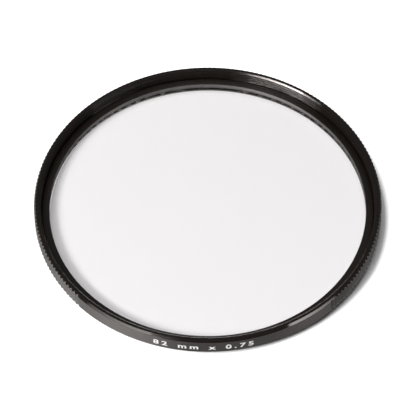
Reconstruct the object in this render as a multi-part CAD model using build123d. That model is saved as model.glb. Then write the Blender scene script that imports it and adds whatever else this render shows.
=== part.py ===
from build123d import *
import math
import os

# A screw-in camera lens filter: a turned ring with a filter thread at each end, a flat glass, and the
# ring that holds the glass down. Millimetres. Z is the optical axis, Z = 0 is the rear end that enters
# the lens, and +Z points at the scene. The plain sector of the grip faces -Y.

# Walls and clearances, worked outwards and inwards from the nominal thread
thread_diameter = 82.0        # nominal diameter of the front and the rear thread
thread_allowance = 0.05       # the rear thread's crests lie this far inside nominal
rim_wall = 1.25               # front thread's wall to the outer face of the grip
pocket_wall = 1.25            # rear thread's crests to the glass pocket
glass_clearance = 0.10        # edge of the glass to its pocket
seat_width = 0.98             # ledge under the edge of the glass
ring_step = 0.45              # the retaining ring's bore is this much smaller than the front thread
ring_clearance = 0.10         # retaining ring to its bore

# Heights, stacked from the rear end up
seat_thickness = 0.66
glass_thickness = 1.20
glass_proud = 0.10            # the glass stands above the floor round its pocket, so the ring bears on it
shoulder_floor = 0.30         # metal between that floor and the rear shoulder
ring_height = 1.40
ring_sink = 0.05              # the ring's top lies below the end of the front thread
front_thread_depth = 2.64     # front face to the end of the front thread

# Edges
front_chamfer = 0.50          # outer front edge of the grip
mouth_chamfer = 0.30          # start of the front thread
lead_chamfer = 0.25           # start of the rear thread
aperture_chamfer = 0.20       # rear inner edge of the glass seat
glass_bevel = 0.15            # ground edges of the glass
ring_chamfer = 0.15           # outer top edge of the retaining ring
sight_bevel_width = 0.35      # shallow bevel round the retaining ring's opening
sight_bevel_drop = 0.15

# Grip: straight V grooves, with a plain sector for a marking
grooves_per_turn = 220
groove_depth = 0.36
groove_share = 0.88           # the part of each pitch that a groove's mouth takes up
plain_sector = 90.0           # degrees, centred on -Y

bore_radius = thread_diameter / 2
rim_radius = bore_radius + rim_wall
spigot_radius = bore_radius - thread_allowance
pocket_radius = spigot_radius - pocket_wall
glass_radius = pocket_radius - glass_clearance
aperture_radius = glass_radius - seat_width
ring_bore_radius = bore_radius - ring_step
ring_radius = ring_bore_radius - ring_clearance

glass_top = seat_thickness + glass_thickness
pocket_floor = glass_top - glass_proud
shoulder = pocket_floor - shoulder_floor
ring_top = glass_top + ring_height
thread_end = ring_top + ring_sink
front = thread_end + front_thread_depth


def turned(*corners):
    # A solid of revolution about Z, from the (radius, height) corners of its section.
    outline = Polyline(*[(radius, 0, height) for radius, height in corners], close=True)
    return revolve(make_face(outline), Axis.Z)


def ring_blank():
    # The mount ring as it leaves the lathe, before the grip is cut.
    return turned(
        (aperture_radius + aperture_chamfer, 0),
        (spigot_radius - lead_chamfer, 0),
        (spigot_radius, lead_chamfer),
        (spigot_radius, shoulder),
        (rim_radius, shoulder),
        (rim_radius, front - front_chamfer),
        (rim_radius - front_chamfer, front),
        (bore_radius + mouth_chamfer, front),
        (bore_radius, front - mouth_chamfer),
        (bore_radius, thread_end),
        (ring_bore_radius, thread_end),
        (ring_bore_radius, pocket_floor),
        (pocket_radius, pocket_floor),
        (pocket_radius, seat_thickness),
        (aperture_radius, seat_thickness),
        (aperture_radius, aperture_chamfer),
    )


def grip_groove():
    # One groove on +X. It starts below the shoulder and ends above the front, so it runs out at both edges.
    half_mouth = groove_share * math.pi * rim_radius / grooves_per_turn
    overcut = 2                   # the cutter is this many groove depths tall
    root = rim_radius - groove_depth
    crest = root + overcut * groove_depth
    cutter = Polygon((root, 0), (crest, -overcut * half_mouth), (crest, overcut * half_mouth), align=None)
    run_out = groove_depth
    length = front - shoulder + 2 * run_out
    return Pos(0, 0, shoulder - run_out) * extrude(cutter, length)


def mount_ring():
    pitch = 360 / grooves_per_turn
    count = round((360 - plain_sector) / pitch)
    # The grooves share out the rest of the turn evenly, from one end of the plain sector to the other.
    first = -90 + plain_sector / 2 + pitch / 2
    grooves = [Rot(0, 0, first + i * pitch) * grip_groove() for i in range(count)]
    return ring_blank() - grooves


def filter_glass():
    return turned(
        (0, seat_thickness),
        (glass_radius - glass_bevel, seat_thickness),
        (glass_radius, seat_thickness + glass_bevel),
        (glass_radius, glass_top - glass_bevel),
        (glass_radius - glass_bevel, glass_top),
        (0, glass_top),
    )


def retaining_ring():
    return turned(
        (aperture_radius, glass_top),
        (ring_radius, glass_top),
        (ring_radius, ring_top - ring_chamfer),
        (ring_radius - ring_chamfer, ring_top),
        (aperture_radius + sight_bevel_width, ring_top),
        (aperture_radius, ring_top - sight_bevel_drop),
    )


os.makedirs("parts", exist_ok=True)
for make in (mount_ring, filter_glass, retaining_ring):
    export_step(make(), f"parts/{make.__name__}.step")
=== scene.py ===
import math

import bmesh
import bpy
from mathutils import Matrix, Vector


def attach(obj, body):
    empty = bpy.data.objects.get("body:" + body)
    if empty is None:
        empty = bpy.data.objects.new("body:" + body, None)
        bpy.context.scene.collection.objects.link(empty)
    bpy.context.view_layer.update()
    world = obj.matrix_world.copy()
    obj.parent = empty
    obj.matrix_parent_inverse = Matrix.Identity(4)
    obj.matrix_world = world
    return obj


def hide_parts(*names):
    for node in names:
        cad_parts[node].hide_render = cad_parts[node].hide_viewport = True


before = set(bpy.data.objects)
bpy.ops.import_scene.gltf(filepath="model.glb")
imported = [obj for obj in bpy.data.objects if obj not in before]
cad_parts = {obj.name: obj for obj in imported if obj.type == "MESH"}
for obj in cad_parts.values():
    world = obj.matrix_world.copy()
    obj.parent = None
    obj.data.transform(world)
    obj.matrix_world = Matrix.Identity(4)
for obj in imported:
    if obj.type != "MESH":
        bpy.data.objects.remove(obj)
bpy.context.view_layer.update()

scene = bpy.context.scene
scene.view_settings.view_transform = "Standard"
mm = 0.001
print("frame loaded:", sorted(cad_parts))


# small helpers for node trees, used by the meshes and the materials alike
def feed(tree, socket, value):
    if isinstance(value, bpy.types.NodeSocket):
        tree.links.new(value, socket)
    else:
        socket.default_value = value


def addNode(tree, kind, inputs=None, **settings):
    node = tree.nodes.new(kind)
    for key, value in settings.items():
        setattr(node, key, value)
    for key, value in (inputs or {}).items():
        feed(tree, node.inputs[key], value)
    return node


def calc(tree, operation, *values):
    node = tree.nodes.new("ShaderNodeMath")
    node.operation = operation
    for socket, value in zip(node.inputs, values):
        feed(tree, socket, value)
    return node.outputs[0]


def ramp(tree, value, low, high, atLow, atHigh):
    wanted = {"Value": value, "From Min": low, "From Max": high, "To Min": atLow, "To Max": atHigh}
    return addNode(tree, "ShaderNodeMapRange", wanted, clamp=True).outputs["Result"]


# The lathe: a section of (radius, 0, height) points is swept round Z. Rows in zone 1 and 2 follow the helix of
# the front and rear thread, and the columns of the fluted sector are spaced to the edges of each flute.
latheInputs = [
    ("Section", "NodeSocketGeometry"),
    ("Closed", "NodeSocketInt"),
    ("Flutes Per Turn", "NodeSocketInt"),
    ("Columns Per Flute", "NodeSocketInt"),
    ("Flutes Cut", "NodeSocketInt"),
    ("Start Angle", "NodeSocketFloat"),
    ("Flute Share", "NodeSocketFloat"),
    ("Flute Round", "NodeSocketFloat"),
    ("Flute Depth", "NodeSocketFloat"),
    ("Rim Radius", "NodeSocketFloat"),
    ("Thread Pitch", "NodeSocketFloat"),
    ("Front Low", "NodeSocketFloat"),
    ("Front High", "NodeSocketFloat"),
    ("Front Depth", "NodeSocketFloat"),
    ("Rear Low", "NodeSocketFloat"),
    ("Rear High", "NodeSocketFloat"),
    ("Rear Depth", "NodeSocketFloat"),
    ("Rear Lead", "NodeSocketFloat"),
    ("Sharp Above", "NodeSocketFloat"),
    ("Material", "NodeSocketMaterial"),
]
fluteColumns = 5                  # the root of a flute, and two columns at each of its edges
threadForm = {                    # pitches from the middle of a turn to the end of its flat and of its flank
    "front": (0.085, 0.345),
    "rear": (0.09, 0.43),
}


def makeLathe():
    tree = bpy.data.node_groups.new("sectionLathe", "GeometryNodeTree")
    tree.interface.new_socket("Geometry", in_out="OUTPUT", socket_type="NodeSocketGeometry")
    for label, kind in latheInputs:
        tree.interface.new_socket(label, in_out="INPUT", socket_type=kind)
    given = tree.nodes.new("NodeGroupInput").outputs

    def named(label, kind):
        return addNode(tree, "GeometryNodeInputNamedAttribute", {"Name": label}, data_type=kind).outputs["Attribute"]

    def sampled(what, kind, index):
        wanted = {"Geometry": given["Section"], "Index": index}
        node = addNode(tree, "GeometryNodeSampleIndex", wanted, data_type=kind, domain="POINT")
        feed(tree, node.inputs["Value"], what)
        return node.outputs["Value"]

    def byZone(*choices):
        node = addNode(tree, "GeometryNodeIndexSwitch", {"Index": zone}, data_type="FLOAT")
        node.index_switch_items.new()
        for place, choice in enumerate(choices):
            feed(tree, node.inputs[place + 1], choice)
        return node.outputs[0]

    # index + 0.5 keeps the whole part right where the division comes out a hair low
    def wholePart(count, size):
        return calc(tree, "FLOOR", calc(tree, "DIVIDE", calc(tree, "ADD", count, 0.5), size))

    size = addNode(tree, "GeometryNodeAttributeDomainSize", {"Geometry": given["Section"]}, component="MESH")
    points = size.outputs["Point Count"]
    columns = calc(tree, "MULTIPLY", given["Flutes Per Turn"], given["Columns Per Flute"])
    across = calc(tree, "ADD", columns, 1)
    along = calc(tree, "ADD", points, given["Closed"])
    grid = addNode(tree, "GeometryNodeMeshGrid", {"Vertices X": along, "Vertices Y": across})

    # which point of the section, and which column of the turn
    index = tree.nodes.new("GeometryNodeInputIndex").outputs[0]
    line = wholePart(index, across)
    row = calc(tree, "MODULO", line, points)
    column = calc(tree, "SUBTRACT", index, calc(tree, "MULTIPLY", line, across))
    place = sampled(tree.nodes.new("GeometryNodeInputPosition").outputs[0], "FLOAT_VECTOR", row)
    zone = sampled(named("zone", "INT"), "INT", row)
    parts = addNode(tree, "ShaderNodeSeparateXYZ", {"Vector": place})
    radius, height = parts.outputs["X"], parts.outputs["Z"]

    # the flute that the column belongs to, and how far it lies from that flute's root, in pitches
    flute = wholePart(column, given["Columns Per Flute"])
    slot = calc(tree, "SUBTRACT", column, calc(tree, "MULTIPLY", flute, given["Columns Per Flute"]))
    side = calc(tree, "SUBTRACT", slot, fluteColumns // 2)
    halfMouth = calc(tree, "MULTIPLY", given["Flute Share"], 0.5)
    # the first column from the root lies inside the flute's edge (-1), and the second outside it (+1)
    spread = calc(tree, "MULTIPLY", calc(tree, "SUBTRACT", calc(tree, "ABSOLUTE", side), 1.5), 2)
    reach = calc(tree, "ADD", halfMouth, calc(tree, "MULTIPLY", spread, given["Flute Round"]))
    offset = calc(tree, "MULTIPLY", calc(tree, "SIGN", side), reach)
    middle = calc(tree, "ADD", calc(tree, "ADD", flute, 0.5), offset)
    angle = calc(tree, "DIVIDE", calc(tree, "MULTIPLY", middle, 2 * math.pi), given["Flutes Per Turn"])
    angle = calc(tree, "ADD", angle, given["Start Angle"])
    first = calc(tree, "ADD", halfMouth, given["Flute Round"])
    turn = calc(tree, "ADD", calc(tree, "ADD", flute, offset), first)
    turn = calc(tree, "DIVIDE", turn, given["Flutes Per Turn"])

    # a flute is a plain V, and only takes metal away
    share = calc(tree, "SUBTRACT", 1, calc(tree, "DIVIDE", calc(tree, "ABSOLUTE", offset), halfMouth))
    share = calc(tree, "MAXIMUM", share, 0)
    share = calc(tree, "MULTIPLY", share, calc(tree, "LESS_THAN", flute, given["Flutes Cut"]))
    fluted = calc(tree, "SUBTRACT", given["Rim Radius"], calc(tree, "MULTIPLY", share, given["Flute Depth"]))
    plainRadius = calc(tree, "MINIMUM", radius, fluted)

    # a thread's row climbs one pitch in a turn and is held between the thread's two ends
    def climb(low, high):
        lifted = calc(tree, "ADD", height, calc(tree, "MULTIPLY", turn, given["Thread Pitch"]))
        held = calc(tree, "MINIMUM", calc(tree, "MAXIMUM", lifted, given[low]), given[high])
        phase = calc(tree, "SUBTRACT", calc(tree, "DIVIDE", held, given["Thread Pitch"]), turn)
        phase = calc(tree, "FRACT", phase)
        return held, calc(tree, "ABSOLUTE", calc(tree, "SUBTRACT", phase, 0.5))

    # the front thread stands in from its roots and fades out at the mouth
    frontHeight, away = climb("Front Low", "Front High")
    ridge = calc(tree, "MULTIPLY", ramp(tree, away, *threadForm["front"], 1, 0), given["Front Depth"])
    ridge = calc(tree, "MINIMUM", ridge, calc(tree, "SUBTRACT", given["Front High"], frontHeight))
    frontRadius = calc(tree, "SUBTRACT", radius, ridge)

    # the rear thread is cut in from its crests, under a 45 degree lead
    rearHeight, away = climb("Rear Low", "Rear High")
    furrow = calc(tree, "MULTIPLY", ramp(tree, away, *threadForm["rear"], 1, 0), given["Rear Depth"])
    lead = calc(tree, "ADD", given["Rear Lead"], calc(tree, "SUBTRACT", rearHeight, given["Rear Low"]))
    rearRadius = calc(tree, "MINIMUM", calc(tree, "SUBTRACT", radius, furrow), lead)

    newRadius = byZone(plainRadius, frontRadius, rearRadius)
    newHeight = byZone(height, frontHeight, rearHeight)
    spot = addNode(tree, "ShaderNodeCombineXYZ", {
        "X": calc(tree, "MULTIPLY", newRadius, calc(tree, "COSINE", angle)),
        "Y": calc(tree, "MULTIPLY", newRadius, calc(tree, "SINE", angle)),
        "Z": newHeight,
    })
    matt = sampled(named("matt", "FLOAT"), "FLOAT", row)
    marked = addNode(tree, "GeometryNodeStoreNamedAttribute",
                     {"Geometry": grid.outputs["Mesh"], "Name": "matt", "Value": matt}, data_type="FLOAT")
    swept = addNode(tree, "GeometryNodeSetPosition", {"Geometry": marked.outputs[0], "Position": spot.outputs[0]})

    # where the flutes run out on the grip's two chamfers, each face is split along its longer diagonal
    scallop = sampled(named("scallop", "INT"), "INT", wholePart(index, columns))
    split = addNode(tree, "GeometryNodeTriangulate", {"Mesh": swept.outputs[0], "Selection": scallop},
                    quad_method="LONGEST_DIAGONAL")
    flipped = addNode(tree, "GeometryNodeFlipFaces", {"Mesh": split.outputs[0]})
    merged = addNode(tree, "GeometryNodeMergeByDistance", {"Geometry": flipped.outputs[0], "Distance": 0.001 * mm})
    smooth = addNode(tree, "GeometryNodeSetShadeSmooth", {"Geometry": merged.outputs[0], "Shade Smooth": True})
    bend = tree.nodes.new("GeometryNodeInputMeshEdgeAngle").outputs["Unsigned Angle"]
    corner = calc(tree, "GREATER_THAN", bend, given["Sharp Above"])
    crisp = addNode(tree, "GeometryNodeSetShadeSmooth",
                    {"Geometry": smooth.outputs[0], "Selection": corner, "Shade Smooth": False}, domain="EDGE")
    real = addNode(tree, "GeometryNodeRealizeInstances", {"Geometry": crisp.outputs[0]})
    painted = addNode(tree, "GeometryNodeSetMaterial",
                      {"Geometry": real.outputs[0], "Material": given["Material"]})
    feed(tree, tree.nodes.new("NodeGroupOutput").inputs[0], painted.outputs[0])
    return tree


sectionLathe = makeLathe()
print("lathe tree:", len(sectionLathe.nodes), "nodes")


# the evaluated draft as a plain mesh, without its modifier
def bakeMesh(draft, name):
    graph = bpy.context.evaluated_depsgraph_get()
    mesh = bpy.data.meshes.new_from_object(draft.evaluated_get(graph))
    mesh.name = name
    draft.modifiers.clear()
    bpy.data.objects.remove(draft)
    return mesh


def addPiece(name, mesh, material):
    mesh.materials.clear()
    mesh.materials.append(material)
    mesh.polygons.foreach_set("material_index", [0] * len(mesh.polygons))
    piece = bpy.data.objects.new(name, mesh)
    scene.collection.objects.link(piece)
    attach(piece, "root")
    print("made", name, len(mesh.vertices), "vertices,", len(mesh.polygons), "faces")
    return piece


# points: (radius, height) in mm, and then zone, scallop and matt where they aren't 0
def turnPiece(name, points, settings, material):
    section = bpy.data.meshes.new(name + "Section")
    section.from_pydata([(p[0] * mm, 0, p[1] * mm) for p in points], [], [])
    for column, (label, kind) in enumerate((("zone", "INT"), ("scallop", "INT"), ("matt", "FLOAT")), start=2):
        layer = section.attributes.new(label, kind, "POINT")
        layer.data.foreach_set("value", [p[column] if len(p) > column else 0 for p in points])
    draft = bpy.data.objects.new(name + "Draft", section)
    scene.collection.objects.link(draft)
    modifier = draft.modifiers.new("lathe", "NODES")
    modifier.node_group = sectionLathe
    wanted = dict(settings, Material=material)
    for item in sectionLathe.interface.items_tree:
        if item.in_out == "INPUT" and item.name in wanted:
            modifier[item.identifier] = wanted[item.name]
    mesh = bakeMesh(draft, name)
    bpy.data.meshes.remove(section)
    return addPiece(name, mesh, material)


# helpers for the materials: an empty tree, a mix of two colours, and the last link
def emptyMaterial(name):
    material = bpy.data.materials.new(name)
    material.use_nodes = True
    material.node_tree.nodes.clear()
    return material


def mixColours(tree, share, first, second):
    return addNode(tree, "ShaderNodeMix", {0: share, 6: first, 7: second}, data_type="RGBA").outputs[2]


def showSurface(tree, shader):
    feed(tree, tree.nodes.new("ShaderNodeOutputMaterial").inputs["Surface"], shader.outputs[0])


# Black anodising over turned metal: the lathe's marks run round the axis, so gloss spreads across them
blackAnodised = {
    "colour": (0.0072, 0.0050, 0.0040, 1),
    "patchColour": (0.0090, 0.0064, 0.0052, 1),
    "mattAndSheenColour": (0.0135, 0.0105, 0.0095, 1),
    "mattFrom": 0.3,              # share of matt where its colour begins
    "sheen": (1.0, 0.94, 0.91, 1),
    "roughness": (0.10, 0.125),
    "mattRoughness": (0.48, 0.55),
    "wearRange": (0.3, 0.7),      # of the noise that sets the roughness
    "noiseRoughness": 0.55,
    "ior": 1.65,
    "anisotropy": 1.0,
    "acrossMarks": 0.25,          # turns
    "grainSize": 0.16,            # mm
    "grainHeight": 0.0009,        # mm
    "toolMarkSize": 0.09,         # mm
    "toolMarkHeight": 0.0004,     # mm
    "patchSize": 9.0,             # mm
}


def anodisedMaterial(name, look):
    material = emptyMaterial(name)
    tree = material.node_tree
    spot = tree.nodes.new("ShaderNodeTexCoord").outputs["Object"]
    parts = addNode(tree, "ShaderNodeSeparateXYZ", {"Vector": spot})
    flat = addNode(tree, "ShaderNodeCombineXYZ", {"X": parts.outputs["X"], "Y": parts.outputs["Y"]})
    radius = addNode(tree, "ShaderNodeVectorMath", {0: flat.outputs[0]}, operation="LENGTH").outputs["Value"]
    rings = addNode(tree, "ShaderNodeCombineXYZ", {"X": radius, "Z": parts.outputs["Z"]}).outputs[0]

    def noise(vector, size, detail):
        wanted = {"Vector": vector, "Scale": 1 / (size * mm), "Detail": detail,
                  "Roughness": look["noiseRoughness"]}
        return addNode(tree, "ShaderNodeTexNoise", wanted).outputs[0]

    patches = noise(spot, look["patchSize"], 2)
    grain = noise(spot, look["grainSize"], 2)
    marks = noise(rings, look["toolMarkSize"], 1)
    matt = addNode(tree, "ShaderNodeAttribute", attribute_name="matt").outputs["Fac"]
    colour = mixColours(tree, patches, look["colour"], look["patchColour"])
    # matt rows take their own colour: a matt tone on the grip, and a painted reflection grey on the retaining ring's
    # wall
    colour = mixColours(tree, ramp(tree, matt, look["mattFrom"], 1, 0, 1), colour, look["mattAndSheenColour"])
    wear = calc(tree, "ADD", calc(tree, "MULTIPLY", patches, 0.5), calc(tree, "MULTIPLY", grain, 0.5))
    smooth = ramp(tree, wear, *look["wearRange"], *look["roughness"])
    rough = ramp(tree, wear, *look["wearRange"], *look["mattRoughness"])
    dull = addNode(tree, "ShaderNodeMix", {0: matt, 2: smooth, 3: rough}).outputs[0]
    bumps = addNode(tree, "ShaderNodeBump", {"Height": marks, "Distance": look["toolMarkHeight"] * mm})
    bumps = addNode(tree, "ShaderNodeBump", {"Height": grain, "Distance": look["grainHeight"] * mm,
                                             "Normal": bumps.outputs[0]})
    around = addNode(tree, "ShaderNodeCombineXYZ", {
        "X": calc(tree, "MULTIPLY", parts.outputs["Y"], -1), "Y": parts.outputs["X"],
    })
    around = addNode(tree, "ShaderNodeVectorMath", {0: around.outputs[0]}, operation="NORMALIZE")
    shader = addNode(tree, "ShaderNodeBsdfPrincipled", {
        "Base Color": colour, "Roughness": dull, "IOR": look["ior"], "Normal": bumps.outputs[0],
        "Specular Tint": look["sheen"], "Anisotropic": look["anisotropy"],
        "Anisotropic Rotation": look["acrossMarks"], "Tangent": around.outputs[0],
    })
    showSurface(tree, shader)
    return material


# The ring: all sizes in mm, in the frame of the CAD part
filterRing = {
    "rim": 42.25,
    "front": 5.95,
    "shoulder": 1.46,
    "threadPitch": 0.75,
    "bendHold": 0.02,             # pitches from each bend of a thread to the rows that hold it
    "frontRoot": 41.0,
    "frontThread": (3.34, 5.65),  # low end, high end
    "frontThreadDepth": 0.406,
    "rearCrest": 40.95,
    "rearThread": (0.0, 1.22),
    "rearThreadDepth": 0.44,
    "rearLead": 40.7,             # radius at the start of the rear thread
    "rearRelief": 40.5,           # radius between that thread and the shoulder
    "flutesPerTurn": 220,
    "flutesCut": 165,
    "firstFlute": -45,            # degrees, at one end of the plain sector
    "fluteDepth": 0.36,
    "fluteShare": 0.88,           # of each pitch
    "fluteRound": 0.02,           # of each pitch
    "frontChamfer": 0.50,
    "rearChamfer": 0.40,
    "apertureChamfer": 0.20,
    # the chamfer at the front thread's mouth: out from the thread's root, down from the front
    "mouth": [(0.15, 0), (0.125, 0), (0.112, 0.005), (0.10, 0.014), (0.08, 0.030), (-0.22, 0.287)],
    "edgeRound": 0.03,
    "tightRound": 0.02,
    "threadEnd": 3.31,
    "ringBore": 40.55,
    "pocket": (39.7, 1.76),       # radius, floor
    "seat": (38.62, 0.66),        # radius, top
    "sharpAbove": 25,             # degrees between two faces
}


# the rows of a thread and of one turn below it, with a row on either side of every bend in its form
def threadRows(radius, ends, form, s, zone):
    pitch, hold = s["threadPitch"], s["bendHold"]
    flat, flank = form
    bends = (0.5 - flank, 0.5 - flat, 0.5 + flat, 0.5 + flank)
    phases = [bend + shift for bend in bends for shift in (-hold, hold)]
    low, high = ends[0] - pitch, ends[1]
    first, last = math.floor(low / pitch), math.ceil(high / pitch)
    heights = [(turn + phase) * pitch for turn in range(first, last) for phase in phases]
    inside = [height for height in heights if low < height < high]
    return [(radius, height, zone) for height in [low] + inside + [high]]


def ringSection(s):
    rim, front, shoulder, root = s["rim"], s["front"], s["shoulder"], s["frontRoot"]
    foot, heel = front - s["frontChamfer"], shoulder + s["rearChamfer"]
    small, tight, depth = s["edgeRound"], s["tightRound"], s["fluteDepth"]
    relief, rearTop, hold = s["rearRelief"], s["rearThread"][1], small + tight
    bore, threadEnd, aperture = s["ringBore"], s["threadEnd"], s["apertureChamfer"]
    pocket, pocketFloor = s["pocket"]
    sight, seat = s["seat"]
    # rear end, rear thread and its relief
    points = [(sight + aperture + tight, 0)]
    points += threadRows(s["rearCrest"], s["rearThread"], threadForm["rear"], s, 2)
    points += [(relief + tight, rearTop), (relief, rearTop + small), (relief, shoulder - small)]
    # shoulder, grip and front
    points += [(relief + small, shoulder), (rim - s["rearChamfer"], shoulder), (rim - depth, heel - depth, 0, 1)]
    points += [(rim - small, heel - small), (rim, heel + small, 0, 0, 1), (rim, foot - small, 0, 0, 1)]
    points += [(rim - small, foot + small), (rim - hold, foot + hold, 0, 1), (rim - depth, foot + depth)]
    points += [(rim - s["frontChamfer"], front)]
    # mouth, front thread, and the bore of the retaining ring
    points += [(root + out, front - down) for out, down in s["mouth"]]
    points += threadRows(root, s["frontThread"], threadForm["front"], s, 1)[::-1]
    points += [(root, s["frontThread"][0]), (root - tight, threadEnd)]
    points += [(bore + small, threadEnd), (bore, threadEnd - small), (bore, pocketFloor)]
    # pocket and seat of the glass, and the opening
    points += [(pocket, pocketFloor), (pocket, seat), (sight + small, seat), (sight, seat - small)]
    points += [(sight, aperture + tight), (sight + tight, aperture - tight), (sight + aperture - tight, tight)]
    return points


blackRing = anodisedMaterial("blackAnodisedRing", blackAnodised)
mountRing = turnPiece("fluted_ring", ringSection(filterRing), {
    "Closed": 1,
    "Flutes Per Turn": filterRing["flutesPerTurn"],
    "Columns Per Flute": fluteColumns,
    "Flutes Cut": filterRing["flutesCut"],
    "Start Angle": math.radians(filterRing["firstFlute"]),
    "Flute Share": filterRing["fluteShare"],
    "Flute Round": filterRing["fluteRound"],
    "Flute Depth": filterRing["fluteDepth"] * mm,
    "Rim Radius": filterRing["rim"] * mm,
    "Thread Pitch": filterRing["threadPitch"] * mm,
    "Front Low": filterRing["frontThread"][0] * mm,
    "Front High": filterRing["frontThread"][1] * mm,
    "Front Depth": filterRing["frontThreadDepth"] * mm,
    "Rear Low": filterRing["rearThread"][0] * mm,
    "Rear High": filterRing["rearThread"][1] * mm,
    "Rear Depth": filterRing["rearThreadDepth"] * mm,
    "Rear Lead": filterRing["rearLead"] * mm,
    "Sharp Above": math.radians(filterRing["sharpAbove"]),
}, blackRing)
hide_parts("mount_ring")


# The retaining ring, which lies on the glass. Its inner wall is matt, and painted a light grey that stands in for
# reflected light, fading darker towards its foot.
lockRing = {
    "section": [
        # the last value is matt; on the inner wall it also paints a light grey for reflected light, fading darker at
        # the foot
        (38.58, 1.86), (40.45, 1.86), (40.45, 2.97), (40.31, 3.11), (40.28, 3.12, 0, 0, 0.25),
        (38.63, 3.12, 0, 0, 0.25), (38.61, 3.12, 0, 0, 0.25), (38.57, 3.10, 0, 0, 0.9), (38.55, 3.06, 0, 0, 1),
        (38.55, 2.60, 0, 0, 1), (38.55, 1.89, 0, 0, 0.3),
    ],
    "ior": 1.85,
    # painted reflection: the light grey of the inner wall
    "paintedReflectionColour": (0.105, 0.103, 0.100, 1),
}
# the lathe without flutes and threads, for plain rings and discs
plainLathe = {label: 0.0 for label, kind in latheInputs if kind == "NodeSocketFloat"}
plainLathe.update({
    "Closed": 1, "Flutes Per Turn": 360, "Columns Per Flute": 1, "Flutes Cut": 0, "Flute Share": 2 / 3,
    "Flute Round": 0.02, "Rim Radius": 1.0, "Thread Pitch": 1.0, "Sharp Above": math.radians(33),
})
paintedReflectionWall = dict(blackAnodised, ior=lockRing["ior"], mattAndSheenColour=lockRing["paintedReflectionColour"])
blackLockRing = anodisedMaterial("blackAnodisedRetainer", paintedReflectionWall)
retainer = turnPiece("retaining_ring_smooth", lockRing["section"], plainLathe, blackLockRing)
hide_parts("retaining_ring")


# The glass: clear and flat, with ground edges. Lamps shine through it, so it casts only a faint shade.
clearGlass = {
    "section": [(0, 0.66), (39.45, 0.66), (39.6, 0.81), (39.6, 1.71), (39.45, 1.86), (0, 1.86)],
    "tint": (0.975, 0.964, 0.9675, 1),
    "shade": (0.965, 0.955, 0.96, 1),
    "ior": 1.52,
    "roughness": 0.0,
}


def glassMaterial(name, look):
    material = emptyMaterial(name)
    tree = material.node_tree
    surface = addNode(tree, "ShaderNodeBsdfPrincipled", {
        "Base Color": look["tint"], "Roughness": look["roughness"], "IOR": look["ior"],
        "Transmission Weight": 1.0,
    })
    clear = addNode(tree, "ShaderNodeBsdfTransparent", {"Color": look["shade"]})
    path = tree.nodes.new("ShaderNodeLightPath")
    for ray in ("Is Shadow Ray", "Is Diffuse Ray"):
        wanted = {0: path.outputs[ray], 1: surface.outputs[0], 2: clear.outputs[0]}
        surface = addNode(tree, "ShaderNodeMixShader", wanted)
    showSurface(tree, surface)
    return material


coatedGlass = glassMaterial("coatedGlass", clearGlass)
openLathe = dict(plainLathe, Closed=0)
pane = turnPiece("clear_glass", clearGlass["section"], openLathe, coatedGlass)
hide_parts("filter_glass")


# The marking: the size of the thread, in white paint on the plain sector
gripMarking = {
    "words": "82 mm x 0.75",
    "height": 1.70,               # mm, of the capitals
    "width": 24.0,                # mm, round the grip
    "middle": 3.62,               # mm above the table
    "radius": 42.25,              # mm, of the grip
    "raised": 0.012,              # mm
    "sunk": 0.02,                 # mm
    "letterSpace": 1.45,
    "wordSpace": 1.5,
    "bolder": 0.026,              # of the letter size, added to each side of a stroke
    "weld": 0.0005,               # of the letter size
    "paint": (0.92, 0.92, 0.90, 1),
    "wornPaint": (0.80, 0.80, 0.78, 1),
    "speckle": 0.2,               # mm
    "roughness": 0.5,
}


def paintMaterial(name, look):
    material = emptyMaterial(name)
    tree = material.node_tree
    spot = tree.nodes.new("ShaderNodeTexCoord").outputs["Object"]
    wanted = {"Vector": spot, "Scale": 1 / (look["speckle"] * mm), "Detail": 2}
    speckle = addNode(tree, "ShaderNodeTexNoise", wanted).outputs[0]
    shader = addNode(tree, "ShaderNodeBsdfPrincipled", {
        "Base Color": mixColours(tree, speckle, look["paint"], look["wornPaint"]), "Roughness": look["roughness"],
    })
    showSurface(tree, shader)
    return material


def makeMarking(name, look):
    curve = bpy.data.curves.new(name + "Words", "FONT")
    curve.body = look["words"]
    curve.size = 1.0
    curve.space_character = look["letterSpace"]
    curve.space_word = look["wordSpace"]
    curve.extrude = 0.5               # any depth: it only tells the front from the back
    curve.offset = look["bolder"]
    curve.resolution_u = 4
    draft = bpy.data.objects.new(name + "Draft", curve)
    scene.collection.objects.link(draft)
    mesh = bakeMesh(draft, name)
    bpy.data.curves.remove(curve)
    welded = bmesh.new()
    welded.from_mesh(mesh)
    bmesh.ops.remove_doubles(welded, verts=welded.verts, dist=look["weld"])
    bmesh.ops.recalc_face_normals(welded, faces=welded.faces)
    welded.to_mesh(mesh)
    welded.free()
    # the flat words are bent round the grip
    places = [vertex.co.copy() for vertex in mesh.vertices]
    left, right = min(p.x for p in places), max(p.x for p in places)
    low, high = min(p.y for p in places), max(p.y for p in places)
    for vertex, p in zip(mesh.vertices, places):
        angle = ((p.x - left) / (right - left) - 0.5) * look["width"] / look["radius"] - math.pi / 2
        radius = look["radius"] + (look["raised"] if p.z > 0 else -look["sunk"])
        height = look["middle"] + ((p.y - low) / (high - low) - 0.5) * look["height"]
        vertex.co = (radius * math.cos(angle) * mm, radius * math.sin(angle) * mm, height * mm)
    return addPiece(name, mesh, paintMaterial("whitePaint", look))


makeMarking("grip_marking", gripMarking)


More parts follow.
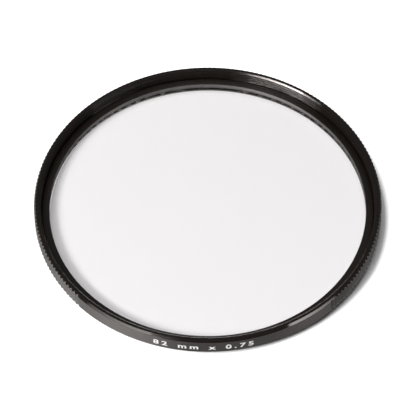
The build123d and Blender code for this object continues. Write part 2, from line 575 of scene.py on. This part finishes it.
# The floor: pale and lit by the lamps. It carries painted light: a white glow to the camera that paints out the
# filter's shadow beyond a set circle, a glow seen through the glass, and painted reflections, bright on the main
# lamp's side and dark behind the filter.
paleFloor = {
    "size": 6.0,                  # m
    "colour": (0.8, 0.8, 0.8, 1),
    "paintedGlassGlow": 0.16,            # painted light, through the glass only
    "paintedWhiteGlow": 0.7,             # painted light, to the camera only
    "paintedShadowMiddle": (1.2 * mm, 3.1 * mm, 0),
    "paintedShadowEdge": (43.5 * mm, 44.7 * mm),   # from that middle: the painted white starts, is full; so the shadow's outer edge is painted, not cast
    "paintedFarShadowEdge": (43.3 * mm, 44.6 * mm),      # from the axis: the painted white starts, is full
    "paintedNearReflection": 0.70,             # painted reflection glow, in reflections only
    "paintedSideReflection": 2.8,              # painted reflection glow on the main lamp's side
    "paintedSideFrom": -8 * mm,
    "paintedSideTo": -28 * mm,
    "paintedFarReflectionShare": 0.08,             # share of the floor behind the filter kept in reflections; the rest is a painted dark reflection
    "paintedFarFrom": -4 * mm,
    "paintedFarTo": 14 * mm,
    "underFilter": 42 * mm,       # the floor inside this radius stays as it is in reflections
}


def floorMaterial(name, look):
    material = emptyMaterial(name)
    tree = material.node_tree
    path = tree.nodes.new("ShaderNodeLightPath")
    through = path.outputs["Is Transmission Ray"]
    # rays that passed through the glass count as glossy too
    glossy = calc(tree, "MULTIPLY", path.outputs["Is Glossy Ray"], calc(tree, "SUBTRACT", 1, through))
    spot = tree.nodes.new("ShaderNodeTexCoord").outputs["Object"]
    parts = addNode(tree, "ShaderNodeSeparateXYZ", {"Vector": spot})
    away = addNode(tree, "ShaderNodeVectorMath", {0: spot}, operation="LENGTH").outputs["Value"]

    # painted reflections: the floor glows brighter on the near and left sides, and is painted dark behind the filter
    side = ramp(tree, parts.outputs["X"], look["paintedSideTo"], look["paintedSideFrom"], look["paintedSideReflection"], look["paintedNearReflection"])
    reflectionKept = ramp(tree, parts.outputs["Y"], look["paintedFarFrom"], look["paintedFarTo"], 1, look["paintedFarReflectionShare"])
    reflectionKept = calc(tree, "MAXIMUM", reflectionKept, calc(tree, "LESS_THAN", away, look["underFilter"]))
    paintedDarkReflection = calc(tree, "MULTIPLY", glossy, calc(tree, "SUBTRACT", 1, reflectionKept))
    paintedGlow = calc(tree, "MULTIPLY", calc(tree, "MULTIPLY", glossy, side), calc(tree, "SUBTRACT", 1, paintedDarkReflection))

    # painted light: a glow through the glass, and a white glow to the camera that paints out the shadow beyond a set
    # circle
    paintedGlow = calc(tree, "ADD", paintedGlow, calc(tree, "MULTIPLY", through, look["paintedGlassGlow"]))
    offset = addNode(tree, "ShaderNodeVectorMath", {0: spot, 1: look["paintedShadowMiddle"]}, operation="DISTANCE")
    clear = ramp(tree, offset.outputs["Value"], *look["paintedShadowEdge"], 0, look["paintedWhiteGlow"])
    clear = calc(tree, "MAXIMUM", clear, ramp(tree, away, *look["paintedFarShadowEdge"], 0, look["paintedWhiteGlow"]))
    paintedGlow = calc(tree, "ADD", paintedGlow, calc(tree, "MULTIPLY", path.outputs["Is Camera Ray"], clear))

    # the floor's colour goes to black where its reflection is painted dark
    lit = addNode(tree, "ShaderNodeBsdfDiffuse", {"Color": mixColours(tree, paintedDarkReflection, look["colour"], (0, 0, 0, 1))})
    paintedLightEmission = addNode(tree, "ShaderNodeEmission", {"Strength": paintedGlow})
    showSurface(tree, addNode(tree, "ShaderNodeAddShader", {0: lit.outputs[0], 1: paintedLightEmission.outputs[0]}))
    return material


half = paleFloor["size"] / 2
floorMesh = bpy.data.meshes.new("floor")
floorMesh.from_pydata([(-half, -half, 0), (half, -half, 0), (half, half, 0), (-half, half, 0)], [], [(0, 1, 2, 3)])
floorMesh.materials.append(floorMaterial("paleFloor", paleFloor))
floor = bpy.data.objects.new("floor", floorMesh)
scene.collection.objects.link(floor)
print("floor laid")


# Studio: the main strip lamp on the near left is four lengths in one place, so that it fades towards its ends.
# A gleam below it and a weak strip on the near right show only as highlights on the metal. A small lamp hangs
# overhead, and a soft fill is not mirrored. Sizes in metres, power in watts, and azimuth 0 is the near side.
studio = {
    "ambient": 0.10,
    "lamps": [
        {"name": "leftStrip", "azimuth": -45, "elevation": 44.5, "distance": 0.80, "size": (0.38, 0.10),
         "power": 2.8, "mirrored": True, "lightsFloor": True},
        {"name": "leftStripEnds", "azimuth": -45, "elevation": 44.5, "distance": 0.81, "size": (0.48, 0.10),
         "power": 0.75, "mirrored": True, "lightsFloor": True},
        {"name": "leftStripTips", "azimuth": -45, "elevation": 44.5, "distance": 0.82, "size": (0.58, 0.10),
         "power": 0.7, "mirrored": True, "lightsFloor": True},
        {"name": "leftStripFade", "azimuth": -45, "elevation": 44.5, "distance": 0.83, "size": (0.69, 0.10),
         "power": 0.6, "mirrored": True, "lightsFloor": True},
        {"name": "leftGleam", "azimuth": -49, "elevation": 31, "distance": 0.8, "size": (0.48, 0.13),
         "power": 0.8, "mirrored": True, "lightsFloor": False},
        {"name": "rightStrip", "azimuth": 61.5, "elevation": 29, "distance": 0.8, "size": (0.36, 0.14),
         "power": 1.0, "mirrored": True, "lightsFloor": False},
        {"name": "overhead", "azimuth": 0, "elevation": 89.9, "distance": 1.2, "size": (0.6, 0.6),
         "power": 2.8, "mirrored": True, "lightsFloor": True},
        {"name": "fill", "azimuth": -60, "elevation": 73, "distance": 1.25, "size": (1.3, 1.3),
         "power": 9.6, "mirrored": False, "lightsFloor": True},
    ],
}


# the direction from the filter to a lamp or the camera, from degrees
def towards(azimuth, elevation):
    swing, tilt = math.radians(azimuth), math.radians(elevation)
    return Vector((math.sin(swing) * math.cos(tilt), -math.cos(swing) * math.cos(tilt), math.sin(tilt)))


for lamp in studio["lamps"]:
    light = bpy.data.lights.new(lamp["name"], "AREA")
    light.shape = "RECTANGLE"
    light.size, light.size_y = lamp["size"]
    light.energy = lamp["power"]
    holder = bpy.data.objects.new(lamp["name"], light)
    toLamp = towards(lamp["azimuth"], lamp["elevation"])
    holder.location = toLamp * lamp["distance"]
    holder.rotation_mode = "QUATERNION"
    holder.rotation_quaternion = (-toLamp).to_track_quat("-Z", "Y")
    holder.visible_camera = False
    holder.visible_glossy = lamp["mirrored"]
    holder.visible_diffuse = lamp["lightsFloor"]
    holder.visible_transmission = False    # the glass passes lamp light as shadow rays
    scene.collection.objects.link(holder)

# the world: white to the camera, dim in reflections, and no light of its own on the floor
world = bpy.data.worlds.new("studio")
world.use_nodes = True
sky = world.node_tree
sky.nodes.clear()
ray = sky.nodes.new("ShaderNodeLightPath")
mirroredSky = calc(sky, "MULTIPLY", calc(sky, "SUBTRACT", 1, ray.outputs["Is Diffuse Ray"]), studio["ambient"])
background = addNode(sky, "ShaderNodeBackground", {
    "Color": (1, 1, 1, 1), "Strength": calc(sky, "MAXIMUM", ray.outputs["Is Camera Ray"], mirroredSky),
})
feed(sky, sky.nodes.new("ShaderNodeOutputWorld").inputs["Surface"], background.outputs[0])
scene.world = world
print("lamps set")


# Camera: a long lens, 52 degrees above the table, a little off the middle as in the photograph
shot = {
    "azimuth": 1.5,
    "elevation": 52.4,
    "distance": 0.700,
    "lens": 246.8,
    "sensor": 36,
    "clip": (0.01, 20),
    "focus": (0, 0, 5.45 * mm),
    "rightOfFocus": 0.55 * mm,
    "belowFocus": 2.37 * mm,
}
swing = math.radians(shot["azimuth"])
right = Vector((math.cos(swing), math.sin(swing), 0))
back = towards(shot["azimuth"], shot["elevation"])
up = back.cross(right)
eye = Vector(shot["focus"]) + back * shot["distance"]
aim = Vector(shot["focus"]) + right * shot["rightOfFocus"] - up * shot["belowFocus"]
lens = bpy.data.cameras.new("camera")
lens.sensor_width = shot["sensor"]
lens.lens = shot["lens"]
lens.clip_start, lens.clip_end = shot["clip"]
camera = bpy.data.objects.new("camera", lens)
camera.location = eye
camera.rotation_mode = "QUATERNION"
camera.rotation_quaternion = (aim - eye).to_track_quat("-Z", "Y")
scene.collection.objects.link(camera)
scene.camera = camera
print("camera set")

bpy.context.view_layer.update()
